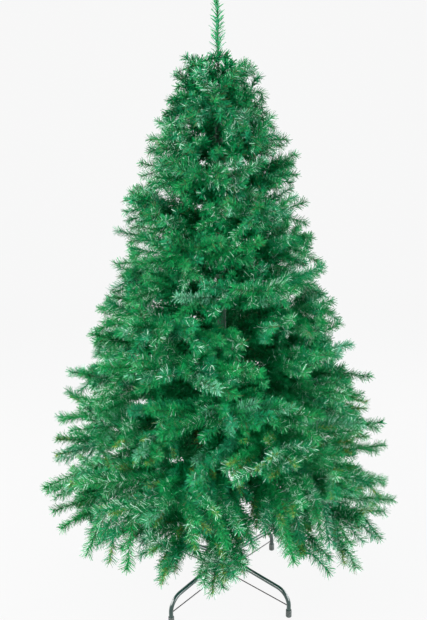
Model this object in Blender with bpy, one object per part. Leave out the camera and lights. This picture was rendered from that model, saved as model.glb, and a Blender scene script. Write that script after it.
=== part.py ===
"""An artificial Christmas tree, 1.8 m tall, on a folding tube stand.

The frame is in metres, +Z up, with the origin on the floor under the pole. A stepped steel pole stands in
the sleeve of a four-legged stand and carries tiers of branches on collars. Each branch is one solid: a wire
stem and the twigs on it, every one a slim core that whorls of needle points stand out of.
"""

import math
import random

import bmesh
import bpy
from mathutils import Vector

CLEARANCE = 0.0003  # between neighbouring solids

# Sizes of the whole tree.
TREE_HEIGHT = 1.80
CROWN_RADIUS = 0.535  # at the lowest tier's tips
CROWN_TOP_RADIUS = 0.135  # at the highest tier's tips
LOWEST_TIP = 0.365  # height of the lowest tier's tips
HIGHEST_TIP = 1.535
CROWN_BULGE = 1.20  # over 1, the crown's sides curve outwards

# Tiers of branches, from the lowest to the highest.
TIER_BRANCHES = (5, 5, 4, 4, 4, 3, 3, 3, 3, 3, 3, 3)
TIER_CROWDING = 0.88  # under 1, the upper tiers lie closer together
TIER_TURN = math.radians(67.0)  # each tier is turned by this from the one below it
FIRST_TURN = math.radians(-113.0)
LOW_SLOPE, HIGH_SLOPE = -0.01, 0.60  # mean rise of a branch for each metre outwards
LOW_ARCH, HIGH_ARCH = 0.05, -0.10  # how much steeper it starts, and flatter it ends
LOW_TWIGS, HIGH_TWIGS = 9, 6
INNER_TWIGS, INNER_REACH = 2, 0.72  # the twigs nearest the pole, and how far out they end
INNER_STARTS = (0.10, 0.18)  # where twigs leave their stem, as shares of its length
FAN_STARTS = (0.22, 0.78)  # the first and last of the other twigs
TWIG_RISE = 0.88  # share of a twig's length in which it reaches its height over or under the stem
NARROWEST_TWIG = 0.40  # the angle that a branch's last twig ends at, as a share of its first one's
TWIG_LEVELS = (1.0, -1.0, 0.5, -0.5, 1.0)  # how far they rise or fall, as shares of the room for it
HANGING = 0.46  # how much of that the lowest tier's twigs fall further

# Chance, from which each branch gets its own shape.
SEED = 890000  # another seed grows another tree of the same kind
STEM_SWING = 0.06  # most that a stem turns from the middle of its sector
SHORTEST_STEM, SHORTEST_TWIG = 0.95, 0.94  # as shares of the crown's radius and of the branch's reach
LEAST_SPREAD = 0.95  # as a share of the widest angle that a twig can end at

# Branch wires and needles.
STEM_WIRE, TWIG_WIRE = 0.0036, 0.0026
CORE, NOTCH = 0.0058, 0.0150  # the core where a brush starts, and between its whorls
LOW_NEEDLES, HIGH_NEEDLES = 0.045, 0.038  # from a twig's axis to its needle points
NEEDLE_SIDES = 3
SIXTH_TURN = math.pi / 3
TIP_TAPER = 0.34  # share of their reach that the needles lose towards a tip
BARE_STEM, BARE_TOP_STEM = 0.050, 0.014  # bare wire next to the pole
LEVEL_START = 0.004  # the stem leaves its collar level
BARE_TWIG = 0.024
MOST_BARE = 0.25  # the bare wire's longest share of a brush
LOW_PITCH, HIGH_PITCH = 0.124, 0.064  # spacing of the whorls along a brush
WHORL_ROOT, WHORL_POINTS = 0.04, 0.90  # where they lie along a whorl's pitch
NEEDLES_CHECKED = 0.35  # share of a twig past which its needles are kept clear of the neighbours'
NEEDLES_CLEAR = 0.99  # the share of their reach that is checked
ROOM_GAP = 0.003  # least gap from a branch to the edge of its own space
OPEN_ROOM = 0.18  # as if another tier lay this far below the lowest one and above the highest
LEADER_WIRE, LEADER_BARE, LEADER_PITCH = 0.004, 0.012, 0.030
LEADER_NEEDLES, LEADER_TAPER = 0.025, 0.55

# Pole.
POLE_FOOT = 0.036
SECTION_JOINTS = (0.640, 1.150)
SECTION_RADII = (0.0145, 0.0125, 0.0100)
POLE_TOP, POLE_TOP_RADIUS, POLE_TOP_TAPER = 1.535, 0.0075, 0.008
JOINT_SLEEVE, JOINT_WALL = 0.030, 0.0016
COLLAR_HEIGHT, COLLAR_WALL = 0.014, 0.0045
POLE_SIDES = 14

# Stand.
LEG_ANGLES = tuple(math.radians(a) for a in (-45, 45, 135, 225))
LEG_NAMES = ("front_right", "back_right", "back_left", "front_left")
FOOT_RADIUS = 0.250
LEG_TUBE = 0.0065
SOCKET_RADIUS, SOCKET_REACH = 0.0085, 0.0310
LEG_SLOPE = -0.095  # fall of the straight run for each metre outwards
LEG_BEND = 0.046
LEG_END = 0.0050
LEG_BEND_STEPS = 4
CAP_RADIUS, CAP_HEIGHT, CAP_FLOOR = 0.0088, 0.023, 0.0046
CAP_EDGE, CAP_DRAFT = 0.0011, 0.0003
LEG_START, LEG_START_HEIGHT = SOCKET_REACH + CLEARANCE - LEG_TUBE * LEG_SLOPE, 0.099
STAY_RADIUS = 0.0017
STAY_INNER_HEIGHT, STAY_OUTER_HEIGHT = 0.046, 0.036
SLEEVE_RADIUS, SLEEVE_BORE = 0.0182, 0.0150
SLEEVE_FOOT, SLEEVE_TOP = 0.026, 0.165
STUB_ROOT = 0.0170  # sockets and ears start in the middle of the sleeve's wall
EAR_RADIUS, EAR_REACH = 0.0042, 0.0250
SCREW_HEIGHT = 0.143
SCREW_ANGLES = tuple(math.radians(a) for a in (0, 180))
SCREW_FLANGE, SCREW_FLANGE_WIDTH = 0.0055, 0.004
SCREW_SHANK, SCREW_SHANK_LENGTH = 0.0030, 0.018
SCREW_WING = (0.012, 0.003, 0.022)


def lerp(low, high, share):
    return low + (high - low) * share


def material(name, color, roughness, metallic=0.0):
    made = bpy.data.materials.new(name)
    made.use_nodes = True
    shader = made.node_tree.nodes["Principled BSDF"]
    shader.inputs["Base Color"].default_value = (*color, 1.0)
    shader.inputs["Roughness"].default_value = roughness
    shader.inputs["Metallic"].default_value = metallic
    return made


def add_object(name, data, finish):
    made = bpy.data.objects.new(name, data)
    bpy.context.scene.collection.objects.link(made)
    data.materials.append(finish)
    return made


def mesh_from(name, build):
    """A new mesh that build(bm) fills."""
    bm = bmesh.new()
    build(bm)
    mesh = bpy.data.meshes.new(name)
    bm.to_mesh(mesh)
    bm.free()
    return mesh


def around(radius, angle, height):
    return Vector((radius * math.cos(angle), radius * math.sin(angle), height))


# ---------------------------------------------------------------- round pieces


def turned(name, profile, sides, finish):
    """A lathe-turned solid from (radius, height) points, listed from the lower end of its axis to the upper."""

    def build(bm):
        rings = []
        for radius, height in profile:
            if radius == 0:
                rings.append([bm.verts.new((0, 0, height))])
            else:
                angles = [2 * math.pi * j / sides for j in range(sides)]
                rings.append([bm.verts.new(around(radius, a, height)) for a in angles])
        for low, high in zip(rings, rings[1:]):
            for j in range(sides):
                corners = [low[j % len(low)], low[(j + 1) % len(low)], high[(j + 1) % len(high)], high[j % len(high)]]
                bm.faces.new(list(dict.fromkeys(corners)))

    mesh = mesh_from(name, build)
    mesh.shade_smooth()
    mesh.set_sharp_from_angle(angle=math.radians(40))
    return add_object(name, mesh, finish)


def rod(name, points, radius, bevel_resolution, finish):
    """A round bar or tube along points, closed at both ends."""
    curve = bpy.data.curves.new(name, "CURVE")
    curve.dimensions = "3D"
    curve.bevel_depth = radius
    curve.bevel_resolution = bevel_resolution
    curve.use_fill_caps = True
    spline = curve.splines.new("POLY")
    spline.points.add(len(points) - 1)
    for place, point in zip(spline.points, points):
        place.co = (*point, 1.0)
    return add_object(name, curve, finish)


# ---------------------------------------------------------------- fusing


def largest_shell(mesh):
    """Keeps a mesh's largest shell. The others are scraps or sealed hollows."""
    bm = bmesh.new()
    bm.from_mesh(mesh)
    unseen, shells = set(bm.verts), []
    while unseen:
        start = unseen.pop()
        shell, edge_of_search = {start}, [start]
        while edge_of_search:
            for edge in edge_of_search.pop().link_edges:
                for vert in edge.verts:
                    if vert in unseen:
                        unseen.remove(vert)
                        shell.add(vert)
                        edge_of_search.append(vert)
        shells.append(shell)
    shells.sort(key=len)
    bmesh.ops.delete(bm, geom=[v for shell in shells[:-1] for v in shell], context="VERTS")
    bmesh.ops.triangulate(bm, faces=bm.faces)
    bm.to_mesh(mesh)
    bm.free()


def fused(name, meshes, finish, solver="MANIFOLD"):
    """One object that is the Boolean union of the meshes."""
    base = add_object(name, meshes[0], finish)
    others = bpy.data.collections.new(name + "_parts")
    bpy.context.scene.collection.children.link(others)
    for mesh in meshes[1:]:
        others.objects.link(bpy.data.objects.new(name + "_part", mesh))
    union = base.modifiers.new("union", "BOOLEAN")
    union.operation = "UNION"
    union.operand_type = "COLLECTION"
    union.collection = others
    union.solver = solver
    joined = bpy.data.meshes.new_from_object(base.evaluated_get(bpy.context.evaluated_depsgraph_get()))
    largest_shell(joined)
    base.modifiers.clear()
    base.data = joined
    for part in list(others.objects):
        bpy.data.objects.remove(part)
    bpy.data.collections.remove(others)
    return base


# ---------------------------------------------------------------- the crown's rule


def crown_radius(height):
    share = (height - LOWEST_TIP) / (HIGHEST_TIP - LOWEST_TIP)
    return lerp(CROWN_RADIUS, CROWN_TOP_RADIUS, max(share, 0.0) ** CROWN_BULGE)


def tier_share(tier):
    return tier / (len(TIER_BRANCHES) - 1)


def tier_tip(tier):
    """Height at which a tier's middle surface meets the crown's edge."""
    return lerp(LOWEST_TIP, HIGHEST_TIP, tier_share(tier) ** TIER_CROWDING)


def tier_height(tier, radius):
    """Height of a tier's middle surface, in which its stems lie, at a radius."""
    share = tier_share(tier)
    tip = tier_tip(tier)
    reach = crown_radius(tip)
    slope = lerp(LOW_SLOPE, HIGH_SLOPE, share)
    arch = lerp(LOW_ARCH, HIGH_ARCH, share)
    along = radius / reach
    return tip - slope * reach * (1 - along) + arch * reach * along * (1 - along)


def tier_room(tier, radius):
    """Lowest and highest height of a tier's own space at a radius."""
    middle = tier_height(tier, radius)
    top_tier = len(TIER_BRANCHES) - 1
    below = tier_height(tier - 1, radius) if tier > 0 else middle - OPEN_ROOM
    above = tier_height(tier + 1, radius) if tier < top_tier else middle + OPEN_ROOM
    return (middle + below) / 2 + ROOM_GAP, (middle + above) / 2 - ROOM_GAP


def upright(start):
    """The path straight up the tree's axis."""
    return lambda distance: Vector((0, 0, start + distance))


def needle_reach(tier, share):
    """How far needles stand out from a twig's axis, at a share of its length."""
    return lerp(LOW_NEEDLES, HIGH_NEEDLES, tier_share(tier)) * (1 - TIP_TAPER * share**2)


def twig_path(tier, start, end, level):
    """A twig's path, straight in plan. Level is how far it rises or falls, as a share of the room for that."""
    length = (end - start).length

    def point(distance):
        share = distance / length
        place = start.lerp(end, share)
        low, high = tier_room(tier, place.length)
        middle = tier_height(tier, place.length)
        room = (high - middle if level > 0 else middle - low) - needle_reach(tier, share)
        risen = math.sin(math.pi / 2 * min(share / TWIG_RISE, 1.0))
        return Vector((place.x, place.y, middle + level * risen * room))

    return point, length


def has_room(tier, middle_angle, half_sector, path, length):
    """Whether the outer part of a path, with its needles, stays in the branch's own space."""
    for step in range(5):
        share = lerp(NEEDLES_CHECKED, 1.0, step / 4)
        place = path(length * share)
        radius = math.hypot(place.x, place.y)
        turn = math.remainder(math.atan2(place.y, place.x) - middle_angle, 2 * math.pi)
        low, high = tier_room(tier, radius)
        needles = NEEDLES_CLEAR * needle_reach(tier, share)
        if min(place.z - low, high - place.z, radius * math.sin(half_sector - abs(turn)) - ROOM_GAP) < needles:
            return False
    return True


def brush(path, length, wire, bare, pitch, needle, upward=True, taper=TIP_TAPER):
    """A closed mesh along path(distance): bare wire, then whorls of needle points that lean to the tip.

    The last whorl has a point at its top if upward is true, and at its bottom otherwise.
    """
    bare = min(bare, MOST_BARE * length)
    whorls = max(1, round((length - bare) / pitch))
    step = (length - bare) / whorls
    first_turn = SIXTH_TURN * ((whorls + upward) % 2)
    rings = [(0.0, wire, first_turn)]
    for k in range(whorls):
        turn = first_turn + SIXTH_TURN * k
        near_tip = (k + 1) / whorls
        reach = needle * (1 - taper * near_tip**2)
        root = bare + k * step
        rings.append((root + WHORL_ROOT * step, NOTCH if k else CORE, turn))
        rings.append((root + WHORL_POINTS * step, reach, turn))

    def build(bm):
        loops = []
        for distance, radius, turn in rings:
            centre = path(distance)
            along = (path(distance + 0.002) - path(distance - 0.002)).normalized()
            reference = Vector((1, 0, 0)) if abs(along.z) > 0.9 else Vector((0, 0, 1))
            side = along.cross(reference).normalized()
            up = side.cross(along)
            angles = [turn + 2 * math.pi * j / NEEDLE_SIDES for j in range(NEEDLE_SIDES)]
            loops.append(
                [bm.verts.new(centre + radius * (math.sin(a) * side + math.cos(a) * up)) for a in angles]
            )
        tip = bm.verts.new(path(length))
        for near, far in zip(loops, loops[1:]):
            for j in range(NEEDLE_SIDES):
                after = (j + 1) % NEEDLE_SIDES
                bm.faces.new((near[j], near[after], far[j]))
                bm.faces.new((near[after], far[after], far[j]))
        for j in range(NEEDLE_SIDES):
            bm.faces.new((loops[-1][j], loops[-1][(j + 1) % NEEDLE_SIDES], tip))
        bm.faces.new(loops[0][::-1])
        bmesh.ops.recalc_face_normals(bm, faces=bm.faces)

    return mesh_from("brush", build)


def branch(tier, number, finish):
    """One branch: a stem from its collar to the crown's edge, and twigs to its left and right in turn."""
    chance = random.Random(SEED + 100 * tier + number)
    share = tier_share(tier)
    count = TIER_BRANCHES[tier]
    half_sector = math.pi / count
    middle_angle = FIRST_TURN + tier * TIER_TURN + 2 * half_sector * number
    angle = middle_angle + chance.uniform(-STEM_SWING, STEM_SWING)
    reach = crown_radius(tier_tip(tier)) * chance.uniform(SHORTEST_STEM, 1.0)
    start_radius = pole_radius(tier_height(tier, 0.0)) + COLLAR_WALL + CLEARANCE

    def stem_path(distance):
        radius = start_radius + distance
        return around(radius, angle, tier_height(tier, max(radius, start_radius + LEVEL_START)))

    stem_length = reach - start_radius
    pitch, needle = lerp(LOW_PITCH, HIGH_PITCH, share), needle_reach(tier, 0)
    meshes = [brush(stem_path, stem_length, STEM_WIRE, lerp(BARE_STEM, BARE_TOP_STEM, share), pitch, needle)]
    twigs = round(lerp(LOW_TWIGS, HIGH_TWIGS, share))
    inner = round(lerp(INNER_TWIGS, 0, share))
    for twig in range(twigs):
        in_fan = twig >= inner
        outwards = (twig - inner) / (twigs - inner - 1) if in_fan else 0
        along = lerp(*FAN_STARTS, outwards) if in_fan else INNER_STARTS[twig]
        start = around(start_radius + along * stem_length, angle, 0)
        side = 1 if (twig + number) % 2 else -1
        level = TWIG_LEVELS[(twig + number + tier) % len(TWIG_LEVELS)]
        if tier == 0:
            level = (1 - HANGING) * level - HANGING
        radius = reach * (1.0 if in_fan else INNER_REACH) * chance.uniform(SHORTEST_TWIG, 1.0)
        widest = half_sector - math.asin((needle_reach(tier, TWIG_RISE) + ROOM_GAP) / radius)
        turn = side * widest * lerp(1.0, NARROWEST_TWIG, outwards) * chance.uniform(LEAST_SPREAD, 1.0)
        path, length = twig_path(tier, start, around(radius, middle_angle + turn, 0), level)
        if has_room(tier, middle_angle, half_sector, path, length):
            meshes.append(brush(path, length, TWIG_WIRE, BARE_TWIG, pitch, needle, level > 0))
    return fused(f"branch_{tier + 1}_{number + 1}", meshes, finish)


def leader(finish):
    """The crown's tip: an upright wire on top of the pole, its needles shorter towards the top."""
    start = POLE_TOP + CLEARANCE
    mesh = brush(
        upright(start),
        TREE_HEIGHT - start,
        LEADER_WIRE,
        LEADER_BARE,
        LEADER_PITCH,
        LEADER_NEEDLES,
        taper=LEADER_TAPER,
    )
    return add_object("leader", mesh, finish)


# ---------------------------------------------------------------- pole


def pole_radius(height):
    for joint, radius in zip(SECTION_JOINTS, SECTION_RADII):
        if height < joint:
            return radius
    return SECTION_RADII[-1]


def pole(finish):
    """The pole in three sections. Each lower one's end is a swaged sleeve, and a collar carries each tier."""
    steps = []
    for joint, radius in zip(SECTION_JOINTS, SECTION_RADII):
        steps.append((joint - JOINT_SLEEVE / 2, joint + JOINT_SLEEVE / 2, radius + JOINT_WALL))
    for tier in range(len(TIER_BRANCHES)):
        middle = tier_height(tier, 0.0)
        steps.append((middle - COLLAR_HEIGHT / 2, middle + COLLAR_HEIGHT / 2, pole_radius(middle) + COLLAR_WALL))
    profile = [(0, POLE_FOOT), (SECTION_RADII[0], POLE_FOOT)]
    for low, high, radius in sorted(steps):
        profile += [(pole_radius(low), low), (radius, low), (radius, high), (pole_radius(high), high)]
    profile += [(SECTION_RADII[-1], POLE_TOP - POLE_TOP_TAPER), (POLE_TOP_RADIUS, POLE_TOP), (0, POLE_TOP)]
    return turned("pole", profile, POLE_SIDES, finish)


# ---------------------------------------------------------------- stand


def stub(angle, radius, inner, outer, height, sides):
    """A short round stub that stands out of the sleeve at an angle."""

    def build(bm):
        bmesh.ops.create_cone(
            bm, cap_ends=True, segments=sides, radius1=radius, radius2=radius, depth=outer - inner
        )
        bmesh.ops.rotate(bm, verts=bm.verts, matrix=turn_to(angle))
        bmesh.ops.translate(bm, verts=bm.verts, vec=around((inner + outer) / 2, angle, height))

    return mesh_from("stub", build)


def turn_to(angle):
    """The rotation that lays a piece along +Z down on the horizontal, pointing at angle."""
    return Vector((0, 0, 1)).rotation_difference(around(1, angle, 0)).to_matrix()


def stand_sleeve(finish):
    """The sleeve round the pole's foot, with a socket for each leg and an ear for each stay."""
    profile = [
        (SLEEVE_BORE, SLEEVE_FOOT),
        (SLEEVE_RADIUS, SLEEVE_FOOT),
        (SLEEVE_RADIUS, SLEEVE_TOP),
        (SLEEVE_BORE, SLEEVE_TOP),
        (SLEEVE_BORE, SLEEVE_FOOT),
    ]
    sleeve = turned("sleeve_blank", profile, 16, finish)
    bm = bmesh.new()
    bm.from_mesh(sleeve.data)
    bmesh.ops.remove_doubles(bm, verts=bm.verts, dist=0.00001)
    bmesh.ops.recalc_face_normals(bm, faces=bm.faces)
    bm.to_mesh(sleeve.data)
    bm.free()
    meshes = [sleeve.data]
    for angle in LEG_ANGLES:
        meshes.append(stub(angle, SOCKET_RADIUS, STUB_ROOT, SOCKET_REACH, LEG_START_HEIGHT, 10))
        meshes.append(stub(angle, EAR_RADIUS, STUB_ROOT, EAR_REACH, STAY_INNER_HEIGHT, 8))
    bpy.data.objects.remove(sleeve)
    return fused("stand_sleeve", meshes, finish)


def leg(name, angle, finish):
    """A leg tube: a straight run that falls a little, a bend, and a short upright end in its cap."""
    fall = math.atan(-LEG_SLOPE)
    corner_height = LEG_START_HEIGHT + LEG_SLOPE * (FOOT_RADIUS - LEG_START)
    tangent = LEG_BEND * math.tan((math.pi / 2 - fall) / 2)
    centre_radius, centre_height = FOOT_RADIUS - LEG_BEND, corner_height - tangent
    points = [around(LEG_START, angle, LEG_START_HEIGHT)]
    for step in range(LEG_BEND_STEPS + 1):
        turn = lerp(math.pi / 2 - fall, 0.0, step / LEG_BEND_STEPS)
        radius = centre_radius + LEG_BEND * math.cos(turn)
        points.append(around(radius, angle, centre_height + LEG_BEND * math.sin(turn)))
    points.append(around(FOOT_RADIUS, angle, LEG_END))
    return rod("leg_" + name, points, LEG_TUBE, 3, finish)


def foot_cap(name, angle, finish):
    """A rubber cup under a leg's end, with a flat underside."""
    wall = LEG_TUBE + CLEARANCE
    profile = [
        (0, 0),
        (CAP_RADIUS - CAP_EDGE, 0),
        (CAP_RADIUS, CAP_EDGE),
        (CAP_RADIUS - CAP_DRAFT, CAP_HEIGHT),
        (wall, CAP_HEIGHT),
        (wall, CAP_FLOOR),
        (0, CAP_FLOOR),
    ]
    cap = turned("cap_" + name, profile, 10, finish)
    cap.location = around(FOOT_RADIUS, angle, 0)
    return cap


def stay(name, angle, finish):
    """A wire stay from the sleeve's ear to the inner side of a leg's upright end."""
    inner = around(EAR_REACH + CLEARANCE, angle, STAY_INNER_HEIGHT)
    outer = around(FOOT_RADIUS - LEG_TUBE - CLEARANCE, angle, STAY_OUTER_HEIGHT)
    return rod("stay_" + name, [inner, outer], STAY_RADIUS, 2, finish)


def screw(name, angle, finish):
    """A thumb screw against the sleeve: a shank, a flange and a flat wing."""
    face = SLEEVE_RADIUS + CLEARANCE
    shank_end = face + SCREW_SHANK_LENGTH

    def wing(bm):
        bmesh.ops.create_cube(bm, size=1.0)
        bmesh.ops.scale(bm, verts=bm.verts, vec=SCREW_WING)
        bmesh.ops.rotate(bm, verts=bm.verts, matrix=turn_to(angle) @ turn_to(0).inverted())
        bmesh.ops.translate(bm, verts=bm.verts, vec=around(shank_end + SCREW_WING[0] / 3, angle, SCREW_HEIGHT))

    meshes = [
        stub(angle, SCREW_FLANGE, face, face + SCREW_FLANGE_WIDTH, SCREW_HEIGHT, 10),
        stub(angle, SCREW_SHANK, face + SCREW_FLANGE_WIDTH / 2, shank_end, SCREW_HEIGHT, 8),
        mesh_from("wing", wing),
    ]
    return fused("screw_" + name, meshes, finish)


def main():
    for old in list(bpy.data.objects):
        bpy.data.objects.remove(old)
    needles = material("pvc_needles", (0.012, 0.165, 0.062), 0.45)
    painted = material("painted_tube", (0.012, 0.045, 0.038), 0.30, 0.3)
    steel = material("stay_wire", (0.06, 0.06, 0.06), 0.35, 0.8)
    rubber = material("cap_rubber", (0.045, 0.055, 0.052), 0.60)
    green = material("pole_paint", (0.015, 0.090, 0.045), 0.40, 0.2)

    pole(green)
    for tier, count in enumerate(TIER_BRANCHES):
        for number in range(count):
            branch(tier, number, needles)
    leader(needles)
    stand_sleeve(painted)
    for name, angle in zip(LEG_NAMES, LEG_ANGLES):
        leg(name, angle, painted)
        foot_cap(name, angle, rubber)
        stay(name, angle, steel)
    for name, angle in zip(("right", "left"), SCREW_ANGLES):
        screw(name, angle, steel)


main()
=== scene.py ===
import random
from math import asin, atan, atan2, cos, hypot, pi, radians, remainder, sin, tan

import bmesh
import bpy
import numpy as np
from mathutils import Matrix, Vector, noise


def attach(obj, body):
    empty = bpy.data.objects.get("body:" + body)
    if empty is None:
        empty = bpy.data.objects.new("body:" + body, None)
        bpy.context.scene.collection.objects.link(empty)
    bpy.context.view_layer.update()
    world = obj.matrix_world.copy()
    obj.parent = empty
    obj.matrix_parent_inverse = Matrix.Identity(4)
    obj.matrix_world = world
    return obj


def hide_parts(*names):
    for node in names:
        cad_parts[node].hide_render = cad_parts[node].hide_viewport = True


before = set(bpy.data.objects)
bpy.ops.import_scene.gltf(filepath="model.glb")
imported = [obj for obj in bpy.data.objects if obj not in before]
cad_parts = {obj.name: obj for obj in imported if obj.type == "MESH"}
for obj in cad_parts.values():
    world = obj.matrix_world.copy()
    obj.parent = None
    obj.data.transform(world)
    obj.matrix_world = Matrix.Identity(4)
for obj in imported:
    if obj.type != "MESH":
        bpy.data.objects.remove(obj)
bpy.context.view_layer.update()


def mix(low, high, share):
    return low + (high - low) * share


def polar(radius, angle, height):
    return Vector((radius * cos(angle), radius * sin(angle), height))


def metres(*rows):  # from millimetres
    return [tuple(one / 1000 for one in row) for row in rows]


# small helpers for meshes and materials

def linked(name, data):
    made = bpy.data.objects.new(name, data)
    bpy.context.scene.collection.objects.link(made)
    return made


def newObject(bm, name, finish, crease=35.0):
    bmesh.ops.recalc_face_normals(bm, faces=bm.faces)
    mesh = bpy.data.meshes.new(name)
    bm.to_mesh(mesh)
    bm.free()
    mesh.shade_smooth()
    mesh.set_sharp_from_angle(angle=radians(crease))
    mesh.materials.append(finish)
    return linked(name, mesh)


def edgesOf(geom):
    return [one for one in geom if isinstance(one, bmesh.types.BMEdge)]


def extruded(bm, edges, vec):
    made = bmesh.ops.extrude_edge_only(bm, edges=edges)["geom"]
    bmesh.ops.translate(bm, verts=[one for one in made if isinstance(one, bmesh.types.BMVert)], vec=vec)
    return edgesOf(made)


def swept(bm, edges, centre, axis, angle, steps):
    ends = list(dict.fromkeys(v for e in edges for v in e.verts))
    made = bmesh.ops.spin(bm, geom=edges + ends, cent=centre, axis=axis, angle=angle, steps=steps,
                          use_duplicate=False)
    return edgesOf(made["geom_last"])


def setInputs(node, inputs):
    for name, value in inputs.items():
        node.inputs[name].default_value = value
    return node


def newMaterial(name, colour, roughness, specular=0.5):
    material = bpy.data.materials.new(name)
    material.use_nodes = True
    setInputs(material.node_tree.nodes["Principled BSDF"],
              {"Base Color": (*colour, 1), "Roughness": roughness, "Specular IOR Level": specular})
    return material


# camera and light

view = {
    "distance": 2.08, "height": 1.474, "bearing": -94.4,  # where the camera stands, seen from the pole
    "heading": -3.76, "pitch": 15.0, "roll": -0.97,
    "focal": 739.0, "imageHeight": 620,  # both in pixels
    "sensor": 24.0, "clipEnd": 60.0,
}


def setCamera():
    camera = linked("camera", bpy.data.cameras.new("camera"))
    camera.data.sensor_fit = "VERTICAL"
    camera.data.sensor_height = view["sensor"]
    camera.data.lens = view["focal"] * view["sensor"] / view["imageHeight"]
    camera.data.clip_end = view["clipEnd"]
    turn = Matrix.Rotation(radians(view["heading"]), 4, "Z")
    tilt = Matrix.Rotation(radians(90 - view["pitch"]), 4, "X")
    roll = Matrix.Rotation(radians(view["roll"]), 4, "Z")
    place = Matrix.Translation(polar(view["distance"], radians(view["bearing"]), view["height"]))
    camera.matrix_world = place @ turn @ tilt @ roll
    bpy.context.scene.camera = camera


studio = {
    "floorSize": 14.0, "sweepStart": 3.2, "sweepRadius": 1.6, "sweepHeight": 5.0, "sweepSteps": 16,
    "floorColour": (0.02, 0.02, 0.02), "floorRoughness": 0.9,
    "floorGlow": 0.905,  # keeps the floor pale where the tree shades it
    "world": (0.95, 0.98, 1.0), "worldStrength": 0.93, "aimHeight": 0.8,
    # name, watts, size, bearing, distance, height, colour
    "lamps": [
        ("lampKey", 150.0, 2.0, -144.0, 2.8, 1.9, (1.0, 0.985, 0.96)),
        ("lampFill", 118.0, 2.2, -38.0, 3.0, 0.9, (0.95, 0.98, 1.0)),
        ("lampTop", 30.0, 1.8, 90.0, 0.8, 3.6, (1.0, 1.0, 1.0)),
        ("lampLeft", 85.0, 1.8, 165.0, 2.4, 0.9, (1.0, 1.0, 1.0)),
        ("lampRight", 85.0, 1.8, 15.0, 2.4, 0.9, (1.0, 1.0, 1.0)),
    ],
}


def makeFloor():
    bm = bmesh.new()
    half, start, radius = studio["floorSize"] / 2, studio["sweepStart"], studio["sweepRadius"]
    front = bm.edges.new([bm.verts.new((x, -half, 0)) for x in (-half, half)])
    rear = extruded(bm, [front], (0, half + start, 0))
    rear = swept(bm, rear, (0, start, radius), (1, 0, 0), radians(90), studio["sweepSteps"])
    extruded(bm, rear, (0, 0, studio["sweepHeight"]))
    paper = newMaterial("palePaper", studio["floorColour"], studio["floorRoughness"], specular=0.0)
    setInputs(paper.node_tree.nodes["Principled BSDF"],
              {"Emission Color": (1.0, 1.0, 1.0, 1), "Emission Strength": studio["floorGlow"]})
    floor = newObject(bm, "floorSweep", paper)


def lightStudio():
    scene = bpy.context.scene
    scene.world = bpy.data.worlds.new("studioWorld")
    scene.world.use_nodes = True
    setInputs(scene.world.node_tree.nodes["Background"],
              {"Color": (*studio["world"], 1), "Strength": studio["worldStrength"]})
    for name, watts, size, bearing, distance, height, colour in studio["lamps"]:
        lamp = bpy.data.lights.new(name, "AREA")
        lamp.energy, lamp.size, lamp.color = watts, size, colour
        holder = linked(name, lamp)
        holder.location = polar(distance, radians(bearing), height)
        aim = Vector((0, 0, studio["aimHeight"])) - holder.location
        holder.rotation_euler = aim.to_track_quat("-Z", "Y").to_euler()
    scene.view_settings.view_transform = "Standard"


setCamera()
makeFloor()
lightStudio()
print("studio ready")


# finishes

def noiseFinish(name, plain, gloss, dark, pale, breadth, glosses, grain, grainScale):
    material = newMaterial(name, plain, gloss)
    nodes, links = material.node_tree.nodes, material.node_tree.links
    shader, place = nodes["Principled BSDF"], nodes.new("ShaderNodeTexCoord").outputs["Object"]
    broad = setInputs(nodes.new("ShaderNodeTexNoise"), {"Scale": breadth, "Detail": 5.0})  # slow change
    links.new(place, broad.inputs["Vector"])
    ramp = nodes.new("ShaderNodeValToRGB")
    for stop, position, colour in zip(ramp.color_ramp.elements, (0.35, 0.68), (dark, pale)):
        stop.position, stop.color = position, (*colour, 1)
    links.new(broad.outputs["Fac"], ramp.inputs["Fac"])
    links.new(ramp.outputs["Color"], shader.inputs["Base Color"])
    sheen = setInputs(nodes.new("ShaderNodeMapRange"), {"To Min": glosses[0], "To Max": glosses[1]})
    links.new(broad.outputs["Fac"], sheen.inputs["Value"])
    links.new(sheen.outputs["Result"], shader.inputs["Roughness"])
    fine = setInputs(nodes.new("ShaderNodeTexNoise"), {"Scale": grainScale, "Detail": 3.0})
    links.new(place, fine.inputs["Vector"])
    bump = setInputs(nodes.new("ShaderNodeBump"), {"Strength": 0.35, "Distance": grain})
    links.new(fine.outputs["Fac"], bump.inputs["Height"])
    links.new(bump.outputs["Normal"], shader.inputs["Normal"])
    return material


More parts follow.
